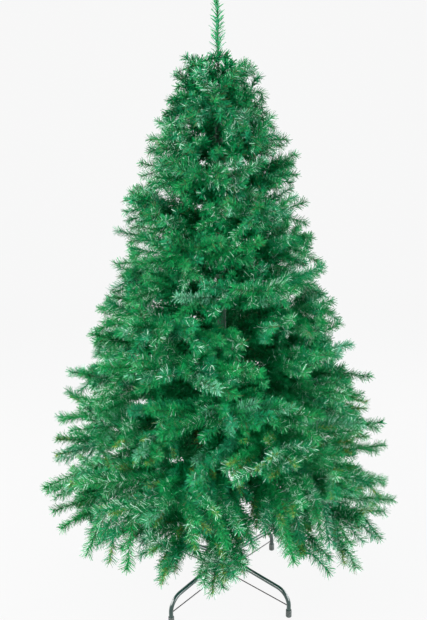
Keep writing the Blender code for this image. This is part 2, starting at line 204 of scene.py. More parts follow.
# plain colour and gloss, dark and pale tone, scale of the tones, range of gloss, depth and scale of the grain
paints = {
    "legPaint": ((0.006, 0.026, 0.021), 0.2, (0.004, 0.021, 0.017), (0.008, 0.032, 0.026),
                 14.0, (0.12, 0.24), 0.00010, 420.0),
    "polePaint": ((0.012, 0.075, 0.036), 0.3, (0.010, 0.065, 0.030), (0.016, 0.090, 0.044),
                  10.0, (0.50, 0.66), 0.00012, 380.0),
    "stayWire": ((0.01, 0.01, 0.01), 0.35, (0.008, 0.006, 0.006), (0.018, 0.015, 0.015),
                 60.0, (0.26, 0.42), 0.00008, 900.0),
    "capRubber": ((0.045, 0.055, 0.052), 0.55, (0.038, 0.047, 0.044), (0.058, 0.070, 0.066),
                  40.0, (0.46, 0.66), 0.00015, 1100.0),
}
legCoat = {"Coat Weight": 0.6, "Coat Roughness": 0.06}
needleFilm = {  # one plain colour for each kind of needle
    "deep": ((0.001, 0.225, 0.062), 0.40),
    # shade: darker needles dealt in the highest tiers, painted shade
    "shade": ((0.001, 0.120, 0.040), 0.40),
    "green": ((0.002, 0.198, 0.052), 0.32),
    "leafy": ((0.004, 0.250, 0.060), 0.32),
    "blue": ((0.009, 0.228, 0.098), 0.28),
    # pale grey-green needles dealt by spray: a painted highlight of light on the glossy film
    "silver": ((0.110, 0.380, 0.235), 0.25),
    # glint: near-white needles that stand in for light glinting off the film, a painted highlight
    "glint": ((0.600, 0.850, 0.720), 0.25),
    "olive": ((0.150, 0.260, 0.045), 0.38),
    "brown": ((0.080, 0.125, 0.045), 0.45),
}
finishes = {name: noiseFinish(name, *row) for name, row in paints.items()}
setInputs(finishes["legPaint"].node_tree.nodes["Principled BSDF"], legCoat)
for kind, (colour, roughness) in needleFilm.items():
    finishes[kind] = newMaterial("film" + kind.capitalize(), colour, roughness, specular=0.24)
finishes["wire"] = newMaterial("branchWire", (0.012, 0.055, 0.022), 0.5)


# how the crown grows: the same rule and seeds as the solids

crown = {
    "radius": 0.535, "topRadius": 0.135, "lowestTip": 0.365, "highestTip": 1.535, "bulge": 1.20,
    "branches": (5, 5, 4, 4, 4, 3, 3, 3, 3, 3, 3, 3), "crowding": 0.88,
    "turn": radians(67.0), "firstTurn": radians(-113.0),
    "slope": (-0.01, 0.60), "arch": (0.05, -0.10), "roomGap": 0.003, "openRoom": 0.18,
    "seed": 890000, "stemSwing": 0.06, "shortestStem": 0.95, "shortestTwig": 0.94, "leastSpread": 0.95,
    "stemGap": 0.0048, "levelStart": 0.004, "step": 0.010,
}
twigRule = {
    "count": (9, 6), "inner": (2, 0), "innerReach": 0.72, "innerStarts": (0.10, 0.18),
    "fanStarts": (0.22, 0.78),
    "rise": 0.88, "narrowest": 0.40, "levels": (1.0, -1.0, 0.5, -0.5, 1.0), "hanging": 0.46,
    "reach": (0.045, 0.038), "taper": 0.34, "checkedFrom": 0.35, "checks": 5, "clear": 0.99,
}
pole = {
    "foot": 0.036, "joints": (0.640, 1.150), "radii": (0.0145, 0.0125, 0.0100), "top": 1.535,
    "topRadius": 0.0075,
    "jointSleeve": 0.030, "jointWall": 0.0016, "jointSlope": 0.004, "sides": 56,
    "collarHeight": 0.014, "collarWall": 0.0045, "collarLip": (0.0016, 0.003), "lug": (0.0022, 0.0060, 0.96),
}
topTier = len(crown["branches"]) - 1


def crownRadius(height):
    share = (height - crown["lowestTip"]) / (crown["highestTip"] - crown["lowestTip"])
    return mix(crown["radius"], crown["topRadius"], max(share, 0.0) ** crown["bulge"])


def tierTip(tier):
    return mix(crown["lowestTip"], crown["highestTip"], (tier / topTier) ** crown["crowding"])


def tierHeight(tier, radius):
    share, tip = tier / topTier, tierTip(tier)
    reach = crownRadius(tip)
    along = radius / reach
    drop = mix(*crown["slope"], share) * reach * (1 - along)
    return tip - drop + mix(*crown["arch"], share) * reach * along * (1 - along)


def tierRoom(tier, radius):
    middle = tierHeight(tier, radius)
    below = tierHeight(tier - 1, radius) if tier > 0 else middle - crown["openRoom"]
    above = tierHeight(tier + 1, radius) if tier < topTier else middle + crown["openRoom"]
    return (middle + below) / 2 + crown["roomGap"], (middle + above) / 2 - crown["roomGap"]


def sprayReach(tier, share):
    return mix(*twigRule["reach"], tier / topTier) * (1 - twigRule["taper"] * share**2)


def poleRadius(height):
    for joint, radius in zip(pole["joints"], pole["radii"]):
        if height < joint:
            return radius
    return pole["radii"][-1]


# the floor of a twig's room, the twig's own height and the room's ceiling
def twigHeights(tier, radius, share, level):
    low, high = tierRoom(tier, radius)
    middle = tierHeight(tier, radius)
    room = (high - middle if level > 0 else middle - low) - sprayReach(tier, share)
    risen = sin(pi / 2 * min(share / twigRule["rise"], 1.0))
    return low, middle + level * risen * room, high


def twigPath(tier, start, end, level):
    points = []
    for share in np.linspace(0, 1, max(5, round((end - start).length / crown["step"]))):
        place = start.lerp(end, float(share))
        points.append((place.x, place.y, twigHeights(tier, place.length, share, level)[1]))
    return np.array(points)


def hasRoom(tier, middleAngle, halfSector, start, end, level):
    for step in np.linspace(0, 1, twigRule["checks"]):
        share = mix(twigRule["checkedFrom"], 1.0, step)
        place = start.lerp(end, share)
        low, height, high = twigHeights(tier, place.length, share, level)
        turn = abs(remainder(atan2(place.y, place.x) - middleAngle, 2 * pi))
        gap = min(height - low, high - height, place.length * sin(halfSector - turn) - crown["roomGap"])
        if gap < twigRule["clear"] * sprayReach(tier, share):
            return False
    return True


# the stem's path, and its twigs' paths
def growBranch(tier, number):
    chance = random.Random(crown["seed"] + 100 * tier + number)
    share = tier / topTier
    halfSector = pi / crown["branches"][tier]
    middleAngle = crown["firstTurn"] + tier * crown["turn"] + 2 * halfSector * number
    angle = middleAngle + chance.uniform(-crown["stemSwing"], crown["stemSwing"])
    reach = crownRadius(tierTip(tier)) * chance.uniform(crown["shortestStem"], 1.0)
    startRadius = poleRadius(tierHeight(tier, 0.0)) + crown["stemGap"]
    stemLength = reach - startRadius
    radii = startRadius + stemLength * np.linspace(0, 1, round(stemLength / crown["step"]))
    level = startRadius + crown["levelStart"]
    stem = np.array([polar(r, angle, tierHeight(tier, max(r, level))) for r in radii])
    count, inner = round(mix(*twigRule["count"], share)), round(mix(*twigRule["inner"], share))
    twigs = []
    for twig in range(count):
        inFan = twig >= inner
        outwards = (twig - inner) / (count - inner - 1) if inFan else 0
        along = mix(*twigRule["fanStarts"], outwards) if inFan else twigRule["innerStarts"][twig]
        start = polar(startRadius + along * stemLength, angle, 0)
        side = 1 if (twig + number) % 2 else -1
        level = twigRule["levels"][(twig + number + tier) % len(twigRule["levels"])]
        if tier == 0:
            level = (1 - twigRule["hanging"]) * level - twigRule["hanging"]
        radius = reach * (1.0 if inFan else twigRule["innerReach"])
        radius *= chance.uniform(crown["shortestTwig"], 1.0)
        widest = halfSector - asin((sprayReach(tier, twigRule["rise"]) + crown["roomGap"]) / radius)
        turn = side * widest * mix(1.0, twigRule["narrowest"], outwards)
        end = polar(radius, middleAngle + turn * chance.uniform(crown["leastSpread"], 1.0), 0)
        if hasRoom(tier, middleAngle, halfSector, start, end, level):
            twigs.append(twigPath(tier, start, end, level))
    return stem, twigs


# sprays: every twig is a brush of film needles, with finer brushes forking from it

spray = {
    "seed": 4127,
    "radius": (0.0180, 0.0165),  # of a brush, low and high in the crown
    "density": 2120.0, "stemDensity": 1800.0,  # needles on a metre of brush
    "bare": 0.008, "stemBare": 0.030,  # length at its foot without needles
    "width": (0.0017, 0.0010), "widthSpread": (0.8, 1.2),  # of a needle's root and tip
    "lean": (54.0, 44.0), "leanSpread": 11.0,  # degrees from the wire, in the body and at the end
    "lengthSpread": (0.75, 1.15), "twist": (20.0, 70.0), "flatSpread": 0.6, "turnStep": 2.39996,
    "turnSpread": 0.5, "endCrowding": 0.84, "endLength": 0.010, "endShorter": 0.22, "endLean": 1.5,
    "mostBare": 0.3, "probe": 0.003,
    "shoots": (3.4, 3.0), "ends": (0.26, 0.80), "shootLength": (0.080, 0.140), "sizes": (0.80, 1.15),
    "drift": (0.55, 1.20), "upright": 0.75, "past": 0.006, "droop": 0.022, "points": 9, "fewest": 5,
    "fullDrift": 0.9, "driftPower": 1.2, "bends": (-0.6, 0.4), "lowBends": (-1.0, 0.2), "firstShoot": 0.01,
    "strays": (1.7, 1.2), "strayStarts": (0.40, 0.80), "strayLength": (0.070, 0.140),
    "strayPitch": ((-46.0, 14.0), (-26.0, 20.0)), "strayYaw": 34.0, "straySag": 0.9,
    "strayLeast": 0.6, "strayMost": 1.15, "strayPast": 0.03,
    "fillers": (8, 15), "fillStarts": (0.05, 0.85), "fillLength": (0.075, 0.135),
    "fillPitch": (-52.0, 46.0), "fillYaw": 85.0, "fillSag": 0.45,
    "tipLength": (0.09, 0.13), "tipStep": 0.012, "tipArch": 0.008, "tipTurn": 0.20, "tipDrop": 1.6,
    "tipInside": 0.02, "tipPoints": 6,
    "hangSize": 1.15, "hangPull": 1.0, "hangSide": 0.95,
    "poleShoots": 34, "poleShootFoot": (1.36, 1.50), "poleShootSlope": (0.05, 0.75),
    "poleShootReach": (0.55, 0.88), "poleShootStart": 0.016, "poleShootNeedle": 0.019,
    "polePoints": 10,
    "stemShoots": (6, 4), "stemEnds": (0.45, 0.95), "stemDrift": (0.60, 1.10),
    "innerShoots": (6, 4), "innerEnds": (0.18, 0.62), "innerDrift": (0.50, 1.45),
    "sideShoots": (4, 6), "sideStarts": (0.02, 0.20), "sideTurns": (0.35, 1.00),
    "sideReach": (0.34, 0.66), "sideRise": 0.30,
    "calmTop": 0.45, "sagTop": 0.034, "stemRoom": 0.5, "twigRoom": 0.8, "leftReach": 0.015,
    "rightReach": -0.012,
}
film = {  # which needles are of which kind
    # the last of these kinds is pale needles, a painted highlight
    "kinds": (("green", 0.46), ("leafy", 0.28), ("blue", 0.23), ("silver", 0.03)), "second": 0.36,
    # glint needles are painted highlights: more at the outer part of the lowest tiers, where the floor lights
    # them, and in patches
    "glint": 0.055, "glintLow": 0.07, "glintEdge": 0.7, "glintWidth": 0.62,
    "shine": (0.30, 1.6), "shineSize": 0.09, "shineFrom": 0.05,  # glints come in patches
    "innerWidth": 2.3, "innerKept": 0.72, "deepInside": 0.52, "deepSpread": 0.05,
    "brownOutside": 0.80, "brownEdge": 0.05, "brownInside": 0.30, "brownShare": 0.25,
    # shares in the highest tiers of painted shade, of brown and of painted highlights
    "topShade": 0.32, "topBrown": 0.05, "topGlint": 0.06,
    "oliveTiers": 3, "oliveLength": 0.045, "oliveShare": 0.30, "oliveNeedles": 0.45,
}
crownLimit = {  # how far out and how low the sprays may end
    "heights": (0.25, 0.31, 0.44, 0.51, 0.58, 0.64, 0.70, 0.77, 0.83, 0.89, 0.95, 1.01, 1.12, 1.18, 1.24,
                1.35, 1.45, 1.50, 1.60, 1.64),
    "radii": (0.57, 0.56, 0.53, 0.52, 0.505, 0.47, 0.46, 0.425, 0.40, 0.37, 0.345, 0.32, 0.29, 0.28, 0.26,
              0.23, 0.175, 0.15, 0.115, 0.06),
    "left": 0.018, "right": -0.018, "inset": 0.014, "spread": (-0.012, 0.012), "shootSpread": (-0.060, 0.002),
    "back": 0.506, "lowRadius": 0.50, "lowSlope": 0.8, "lowInset": 0.010, "core": 0.20,
    "turns": (-175, -150, -139, -130, -118, -113, -105, -97, -90, -85, -80, -74, -69, -62, -55, -50, -40,
              -20),
    "lows": (0.26, 0.32, 0.33, 0.355, 0.365, 0.34, 0.38, 0.31, 0.37, 0.425, 0.42, 0.385, 0.386, 0.325, 0.33,
             0.295, 0.33, 0.26),
}
outerTips = {  # in millimetres to the right of the pole, in front of it and up, as the camera sees it
    "left": metres(
        (-118, 1579), (-145, 1505), (-177, 1450), (-202, 1381), (-228, 1341), (-261, 1240), (-304, 1153),
        (-315, 1058), (-344, 945), (-394, 849), (-464, 731), (-466, 655), (-510, 587), (-521, 515),
        (-525, 461), (-570, 350), (-549, 269)),
    "right": metres(
        (86, 1601), (118, 1557), (131, 1498), (156, 1461), (197, 1394), (222, 1356), (249, 1226),
        (268, 1127), (304, 1045), (333, 935), (358, 872), (389, 804), (452, 706), (443, 623), (494, 557),
        (503, 481), (506, 363), (527, 297), (514, 252)),
    # these get a spray of their own
    "grown": metres(
        (-88, 0, 1617), (-67, 0, 1612), (28, 0, 1616), (441, 0, 509), (423, 0, 526), (-263, 0, 1178),
        (-268, 0, 1206), (-372, 80, 691), (212, 0, 1301), (205, 0, 1330), (-531, 0, 342), (-550, 0, 336),
        (-511, 0, 444), (148, 0, 1354), (242, 0, 1164), (-490, 0, 575), (284, 0, 1049), (470, 0, 535),
        (-328, 0, 958), (-250, 0, 1160), (-216, 0, 1305), (283, 0, 957), (322, 0, 903), (-340, 0, 912),
        (-410, 100, 342), (471, 0, 458), (377, 100, 540), (-89, 120, 1256), (-40, 120, 1208),
        (13, 120, 1180), (149, 80, 1175), (70, 50, 1546), (-144, 0, 1463), (-72, 50, 1431), (-196, 0, 1171),
        (34, 100, 1139), (-23, 100, 1159), (-194, 0, 1368), (-454, 250, 359), (-485, 0, 441),
        (433, 250, 317), (130, 0, 1466), (38, 0, 1602), (-502, 0, 319), (150, 0, 1430), (174, 0, 1382),
        (199, 0, 1280), (414, 0, 649), (-430, 0, 670), (-318, 0, 980), (-9, 120, 977), (-10, 120, 926),
        (-2, 60, 1453), (-10, 120, 1075), (-80, 100, 1235), (0, 130, 860), (-55, 50, 1573), (189, 100, 983),
        (76, 250, 373), (-31, 60, 1347), (-1, 80, 1376), (-56, 60, 1426), (4, 80, 1356), (147, 50, 1373),
        (164, 50, 1271), (238, 50, 1059), (-9, 130, 965), (497, 0, 350), (437, 50, 371), (-36, 100, 1043),
        (230, 50, 1054), (96, 50, 1515), (-22, 100, 1199), (-290, 100, 297), (252, 0, 1104), (-112, 0, 1538),
        (416, 250, 322), (225, 350, 407), (-258, 0, 1118), (-167, 420, 351), (360, 50, 395), (275, 380, 343),
        (-276, 350, 360), (247, 350, 369), (-217, 420, 381), (-349, 300, 338), (-376, 250, 344),
        (373, 300, 341), (-191, 420, 392)),
    # and so do the lowest ones, which come down towards the front
    "hanging": metres(
        (-361, 380, 362), (-293, 430, 372), (-247, 450, 364), (-160, 480, 343), (-101, 390, 372),
        (-33, 500, 328), (-8, 470, 320), (17, 450, 341), (46, 420, 334), (-52, 500, 351), (-64, 450, 345),
        (171, 470, 393), (263, 440, 342), (339, 400, 326), (310, 390, 334), (200, 410, 378), (63, 300, 366),
        (88, 300, 384), (42, 300, 385), (74, 300, 427), (45, 300, 478), (19, 300, 558), (96, 200, 362),
        (-33, 350, 393), (-44, 350, 417), (-23, 350, 366), (180, 350, 420), (249, 400, 415), (193, 400, 410),
        (270, 400, 394), (331, 350, 362), (-222, 350, 371), (-76, 420, 400), (158, 420, 385), (99, 420, 455),
        (71, 420, 404), (-131, 420, 333), (198, 350, 417), (157, 380, 398)),
    "inset": 0.011, "box": ((-0.556, -0.528, 0.10), (0.542, 0.512, 1.70)), "furthest": 0.13, "bend": 1.6,
    "grownDrop": -0.03, "hangingDrop": 0.07,
}
gapSight = {"foot": (0.177, 0.177, 0.030), "length": 0.62, "radius": 0.024}  # the back foot shows here
notches = {  # open places along the crown's edge, in millimetres: to the right of the pole, up, and how wide
    "places": metres(
        (460, 415, 31), (-261, 64, 23), (169, 1500, 23), (-500, 244, 14), (-486, 161, 23), (-119, 63, 25),
        (481, 210, 20), (359, 817, 14), (-490, 478, 16), (394, 748, 20), (405, 678, 14), (-399, 121, 17),
        (-503, 392, 12), (189, 77, 20), (362, 75, 14), (-503, 293, 11), (435, 435, 23), (281, 74, 20),
        (442, 146, 18), (-206, 1354, 14), (-444, 205, 15), (-221, 96, 15), (342, 811, 14), (459, 212, 14),
        (-483, 474, 13), (-393, 771, 12), (389, 735, 12), (-471, 596, 11), (458, 505, 12), (-300, 146, 14),
        (-282, 1085, 10), (-299, 1004, 10), (434, 576, 10), (359, 89, 13), (-518, 378, 10), (-479, 266, 10),
        (-393, 143, 10), (-172, 1429, 10), (197, 1358, 10), (-410, 704, 8), (284, 178, 11), (257, 1072, 8),
        (58, 115, 11), (300, 138, 8), (-392, 842, 11), (82, 1584, 10), (-350, 957, 9), (363, 80, 10),
        (190, 1361, 9), (416, 160, 10), (-260, 1214, 9), (222, 1201, 9)),
    "clear": 0.010,
}
leaderRule = {
    "top": 1.80, "gap": 0.0003, "bareTop": 0.008, "points": 30, "core": 0.0042, "parts": 6, "bare": 0.004,
    "density": 1900.0, "width": 1.5,
    "length": (0.037, 0.020), "lean": (54.0, 44.0), "tipLean": 24.0, "closeShare": 0.35, "closeReach": 0.38,
    # the first share is of pale needles, a painted highlight on the leader
    "shares": (0.09, 0.30, 0.50),  # silver, blue and green, added up
    "crownShoots": 18, "shootFoot": 1.505, "shootTop": (1.555, 1.600), "shootReach": (0.030, 0.105),
    "shootArch": 0.012, "shootNeedle": 0.020, "shootPoints": 8,
}
regions = ((0, 2), (2, 4), (4, 7), (7, 12))  # tiers that share their pieces
eye = np.array(polar(view["distance"], radians(view["bearing"]), view["height"]))
ahead = np.array(polar(1.0, radians(view["bearing"]), 0.0))
rightward = np.array([-ahead[1], ahead[0], 0.0])
needles = {}  # four corners each, by kind and region
stems, wires = [], []


def alongPath(path):
    return np.concatenate([[0.0], np.cumsum(np.linalg.norm(np.diff(path, axis=0), axis=1))])


def sample(path, distances, where):
    return np.stack([np.interp(where, distances, path[:, axis]) for axis in range(3)], axis=1)


def pointAt(path, distances, where):
    return sample(path, distances, np.array([where]))[0]


def unit(vectors):
    return vectors / np.maximum(np.linalg.norm(vectors, axis=1, keepdims=True), 1e-9)


def sideways(tangents):
    reference = np.where(np.abs(tangents[:, 2:3]) > 0.9, [[1.0, 0.0, 0.0]], [[0.0, 0.0, 1.0]])
    across = unit(np.cross(tangents, reference))
    return across, np.cross(across, tangents)


# the corners of a brush's needles, and how far each one is from the brush's end
def brushNeedles(chance, path, density, length, lean, bare):
    distances = alongPath(path)
    total = distances[-1]
    bare = min(bare, spray["mostBare"] * total)
    count = max(8, int(density * (total - bare)))
    shares = ((np.arange(count) + chance.random(count)) / count) ** spray["endCrowding"]  # denser at the end
    where = bare + (total - bare) * shares
    roots = sample(path, distances, where)
    after = sample(path, distances, np.minimum(where + spray["probe"], total))
    tangents = unit(after - sample(path, distances, np.maximum(where - spray["probe"], 0)))
    across, up = sideways(tangents)
    turn = np.arange(count) * spray["turnStep"] + chance.normal(0, spray["turnSpread"], count)
    nearEnd = np.clip((where - (total - spray["endLength"])) / spray["endLength"], 0, 1)
    angle = mix(*lean, nearEnd ** spray["endLean"]) + chance.normal(0, spray["leanSpread"], count)
    angle = np.radians(angle)
    outward = np.cos(turn)[:, None] * up + np.sin(turn)[:, None] * across
    heading = np.cos(angle)[:, None] * tangents + np.sin(angle)[:, None] * outward
    reach = length * chance.uniform(*spray["lengthSpread"], count) * (1 - spray["endShorter"] * nearEnd)
    flat = unit(np.cross(heading, outward + spray["flatSpread"] * chance.normal(0, 1, (count, 3))))
    over = np.cross(heading, flat)
    twist = np.radians(chance.uniform(*spray["twist"], count)) * np.where(chance.random(count) < 0.5, -1, 1)
    flatTip = np.cos(twist)[:, None] * flat + np.sin(twist)[:, None] * over
    tips = roots + reach[:, None] * heading
    widths = np.array(spray["width"])[None, :] * chance.uniform(*spray["widthSpread"], count)[:, None] / 2
    corners = np.stack([roots - widths[:, :1] * flat, roots + widths[:, :1] * flat,
                        tips + widths[:, 1:] * flatTip, tips - widths[:, 1:] * flatTip], axis=1)
    return corners, total - where


def widened(corners, factor):
    ends = []
    for pair in (corners[:, :2], corners[:, 2:]):
        middle = pair.mean(axis=1, keepdims=True)
        ends.append(middle + (pair - middle) * factor)
    return np.concatenate(ends, axis=1)


def dealKind(chance):
    pick = chance.random()
    for kind, share in film["kinds"]:
        if pick < share:
            return kind
        pick -= share
    return film["kinds"][0][0]


def keepNeedles(names, corners, region):
    for kind in set(names) - {"none"}:
        needles.setdefault((kind, region), []).append(corners[names == kind])


# gives a path its needles, each of one kind of film, with painted highlights and painted shade among them
def dressBrush(chance, path, tier, length, onStem=False):
    density, bare = (spray["stemDensity"], spray["stemBare"]) if onStem else (spray["density"], spray["bare"])
    corners, fromEnd = brushNeedles(chance, path, density, length, spray["lean"], bare)
    count, roots, isLow = len(corners), corners[:, 0, :], tier < film["oliveTiers"]
    height = max(float(roots[:, 2].mean()), crown["lowestTip"])
    depth = np.hypot(roots[:, 0], roots[:, 1]) / crownRadius(height)
    first, second = dealKind(chance), dealKind(chance)
    names = np.where(chance.random(count) < film["second"], second, first).astype("<U8")
    # painted highlights: some needles become near-white glint needles, in patches and more at the lowest
    # tiers' outer part
    patch = noise.noise(Vector(roots.mean(axis=0)) / film["shineSize"])
    shine = film["shine"][int(patch > film["shineFrom"])]
    glints = film["glint"] + film["glintLow"] * isLow * (depth > film["glintEdge"])
    names[chance.random(count) < shine * glints] = "glint"
    inside = depth + chance.normal(0, film["deepSpread"], count) < film["deepInside"]
    names[inside] = "deep"
    corners[inside] = widened(corners[inside], film["innerWidth"])
    names[inside & (chance.random(count) > film["innerKept"])] = "none"  # fewer and wider ones inside
    names[(depth > film["brownOutside"]) & (chance.random(count) < film["brownEdge"])] = "brown"
    pick, high = chance.random(count), (tier / topTier) ** 2
    # painted shade: darker needles in the highest tiers
    names[pick < film["topShade"] * high] = "shade"
    names[pick > 1 - film["topBrown"] * high] = "brown"
    # painted highlights: glint needles in the highest tiers
    names[(pick > 0.5) & (pick < 0.5 + shine * film["topGlint"] * high)] = "glint"
    if onStem:
        names[(depth < film["brownInside"]) & (chance.random(count) < film["brownShare"])] = "brown"
    if isLow and chance.random() < film["oliveShare"]:
        olive = (fromEnd < film["oliveLength"]) & (chance.random(count) < film["oliveNeedles"])
        names[olive] = "olive"
        corners[olive, 2:] = (corners[olive, 2:] + corners[olive, :2][:, ::-1]) / 2  # short and close
    shiny = names == "glint"
    corners[shiny] = widened(corners[shiny], film["glintWidth"])
    region = next(index for index, (low, high) in enumerate(regions) if low <= tier < high)
    keepNeedles(names, corners, region)


def needleLength(radius, size=1.0):
    return size * radius / sin(radians(spray["lean"][0]))


def sagging(root, heading, length, sag):
    along = np.linspace(0, length, 8)[:, None]
    path = root + np.array(heading) * along
    path[:, 2] -= sag * along[:, 0] ** 2
    return path


def arched(root, end, count, arch):
    shares = np.linspace(0, 1, count)[:, None]
    path = root + (end - root) * shares
    path[:, 2] += arch * np.sin(shares[:, 0] * pi)
    return path


# leaves a twig or stem, drifts off to one side of it and ends on its own
def shootPath(chance, path, room, ends, low, calm=1.0):
    distances = alongPath(path)
    total = distances[-1]
    end = min(total * chance.uniform(*ends), total)
    start = max(spray["firstShoot"] * total, end - chance.uniform(*spray["shootLength"]))
    shares = np.linspace(0, 1, spray["points"])
    middle = sample(path, distances, start + (end - start) * shares)
    tangents = unit(np.gradient(middle, axis=0))
    across, up = sideways(tangents)
    turn = chance.normal(0, spray["upright"]) + (pi if chance.random() < 0.5 else 0.0)
    parted = np.sin(np.minimum(shares / spray["fullDrift"], 1.0) * pi / 2)
    drift = room * calm * parted ** spray["driftPower"]
    shoot = middle + drift[:, None] * (cos(turn) * up + sin(turn) * across)
    shoot += tangents * (spray["past"] * chance.random() * shares**2)[:, None]
    bend = chance.uniform(*spray["lowBends"]) if low else chance.uniform(*spray["bends"]) * calm
    shoot[:, 2] += bend * spray["droop"] * shares**2
    return shoot


# a path's length, and a place along it
def rootOn(chance, path, starts):
    distances = alongPath(path)
    start = distances[-1] * chance.uniform(*starts)
    return pointAt(path, distances, start), distances[-1], start


# from near a stem's root, turned towards the side of its sector
def sideShoot(chance, stem, tier):
    root, total, _ = rootOn(chance, stem, spray["sideStarts"])
    side = pi / crown["branches"][tier] * chance.uniform(*spray["sideTurns"])
    turn = side * (1 if chance.random() < 0.5 else -1)
    heading = Matrix.Rotation(turn, 3, "Z") @ Vector(stem[-1] - stem[0]).normalized()
    reach = total * chance.uniform(*spray["sideReach"])
    rise = chance.uniform(-1, 1) * spray["sideRise"]
    shares = np.linspace(0, 1, spray["points"])[:, None]
    path = root + np.array(heading) * reach * shares
    path[:, 2] += rise * reach * np.sin(shares[:, 0] * pi / 2)
    return path


# from anywhere on a stem, up or down into the space between two tiers
def fillShoot(chance, stem):
    root = rootOn(chance, stem, spray["fillStarts"])[0]
    outward = Vector(stem[-1] - stem[0]).normalized()
    side = outward.cross(Vector((0, 0, 1))).normalized()
    pitch, yaw = chance.uniform(*spray["fillPitch"]), chance.uniform(-spray["fillYaw"], spray["fillYaw"])
    pitched = Matrix.Rotation(radians(pitch), 3, side) @ outward
    heading = Matrix.Rotation(radians(yaw), 3, "Z") @ pitched
    return sagging(root, heading, chance.uniform(*spray["fillLength"]), spray["fillSag"])


# from a twig's outer part, mostly downwards
def strayShoot(chance, path, tier):
    root, total, start = rootOn(chance, path, spray["strayStarts"])
    heading = Vector(pointAt(path, alongPath(path), min(start + crown["step"], total)) - root).normalized()
    pitch = [radians(mix(low, high, tier / topTier)) for low, high in zip(*spray["strayPitch"])]
    side = heading.cross(Vector((0, 0, 1))).normalized()
    yaw = radians(chance.uniform(-spray["strayYaw"], spray["strayYaw"]))
    heading = Matrix.Rotation(chance.uniform(*pitch), 3, side) @ (Matrix.Rotation(yaw, 3, "Z") @ heading)
    left = total - start
    least, most = spray["strayLeast"] * left, spray["strayMost"] * left + spray["strayPast"]
    length = min(max(chance.uniform(*spray["strayLength"]), least), most)
    return sagging(root, heading, length, spray["straySag"])


# the part of a path that stays inside the crown's outline
def withinCrown(chance, path, spread):
    radii, turns = np.hypot(path[:, 0], path[:, 1]), np.degrees(np.arctan2(path[:, 1], path[:, 0]))
    side = (path[:, 0] / np.maximum(radii, 1e-6) + 1) / 2
    widest = np.interp(path[:, 2], crownLimit["heights"], crownLimit["radii"]) - crownLimit["inset"]
    widest += mix(crownLimit["left"], crownLimit["right"], side) + chance.uniform(*spread)
    lowest = np.interp(turns, crownLimit["turns"], crownLimit["lows"]) + crownLimit["lowInset"]
    lowest += crownLimit["lowSlope"] * (radii - crownLimit["lowRadius"])
    outside = (radii > widest) | (path[:, 1] > crownLimit["back"])
    outside |= (path[:, 2] < lowest) & (radii > crownLimit["core"])
    return path[:int(np.argmax(outside))] if outside.any() else path


def seenPlace(side, front, height):
    return side * rightward + front * ahead + np.array([0.0, 0.0, height])


# bends the nearest twigs so that their ends stand where the outermost tips do
def pullTips(fans):
    ends = [(branch, index, twig[-1])
            for branch, twigs in enumerate(fans) for index, twig in enumerate(twigs)]
    pulled = set()
    for side, height in outerTips["left"] + outerTips["right"]:
        goal = seenPlace(side + outerTips["inset"] * (1 if side < 0 else -1), 0.0, height)
        sight = (goal - eye) / np.linalg.norm(goal - eye)
        best = None
        for branch, index, end in ends:
            nearest = np.clip(eye + sight * ((end - eye) @ sight), *outerTips["box"])
            gap = np.linalg.norm(nearest - end)
            if (branch, index) not in pulled and (best is None or gap < best[0]):
                best = (gap, branch, index, nearest)
        gap, branch, index, nearest = best
        if gap < outerTips["furthest"]:
            twig = fans[branch][index]
            bend = np.linspace(0, 1, len(twig))[:, None] ** outerTips["bend"]
            fans[branch][index] = twig + (nearest - twig[-1]) * bend
            pulled.add((branch, index))
    return pulled


# which points of a path stand in the line of sight to a place
def nearSight(path, place, radius, nearest=-9.0, furthest=9.0):
    sight = (eye - place) / np.linalg.norm(eye - place)
    along = (path - place) @ sight
    away = np.linalg.norm(path - place - along[:, None] * sight, axis=1)
    return (along > nearest) & (along < furthest) & (away < radius)


# the part of a path that leaves the open places free
def sighted(path, notched=True):
    inside = nearSight(path, np.array(gapSight["foot"]), gapSight["radius"], 0.0, gapSight["length"])
    if notched:
        for side, height, radius in notches["places"]:
            inside |= nearSight(path, seenPlace(side, 0.0, height), radius + notches["clear"])
    return path[:int(np.argmax(inside))] if inside.any() else path


# leaves the nearest limb and ends at a place of its own
def grownTip(chance, points, hanging, side, front, height):
    goal = seenPlace(side, front, height)
    reaches, radius = np.linalg.norm(points - goal, axis=1), np.hypot(goal[0], goal[1])
    further = np.hypot(points[:, 0], points[:, 1]) > radius - spray["tipInside"]
    turned = 1 - ((goal - points)[:, :2] @ goal[:2]) / np.maximum(reaches * radius, 1e-6)
    drop = outerTips["hangingDrop" if hanging else "grownDrop"]
    tooLow = np.maximum(goal[2] + drop - points[:, 2], 0.0)
    cost = np.abs(reaches - chance.uniform(*spray["tipLength"])) + spray["tipTurn"] * turned
    cost = cost + spray["tipDrop"] * tooLow + further
    if hanging:
        cost += spray["hangPull"] * np.abs(points @ rightward - spray["hangSide"] * side)
    root = points[int(np.argmin(cost))]
    count = max(spray["tipPoints"], round(float(np.linalg.norm(goal - root)) / spray["tipStep"]))
    return arched(root, goal, count, spray["tipArch"])


# a little longer on the left than on the right, and sagging in the highest tiers
def trimmed(path, tier):
    end, tangent = path[-1], path[-1] - path[-2]
    side = end[0] / max(hypot(end[0], end[1]), 1e-6)
    longer = mix(spray["leftReach"], spray["rightReach"], (side + 1) / 2)
    step = np.linalg.norm(tangent)
    if longer > 0:
        path = np.vstack([path, end + tangent / step * longer])
    else:
        path = np.vstack([path[:-1], end + tangent / step * max(longer, -0.9 * step)])
        path = path[:-1] if -longer > 1.5 * step and len(path) > 4 else path
    path[:, 2] -= spray["sagTop"] * (tier / topTier) ** 3 * np.linspace(0, 1, len(path)) ** 2
    return path


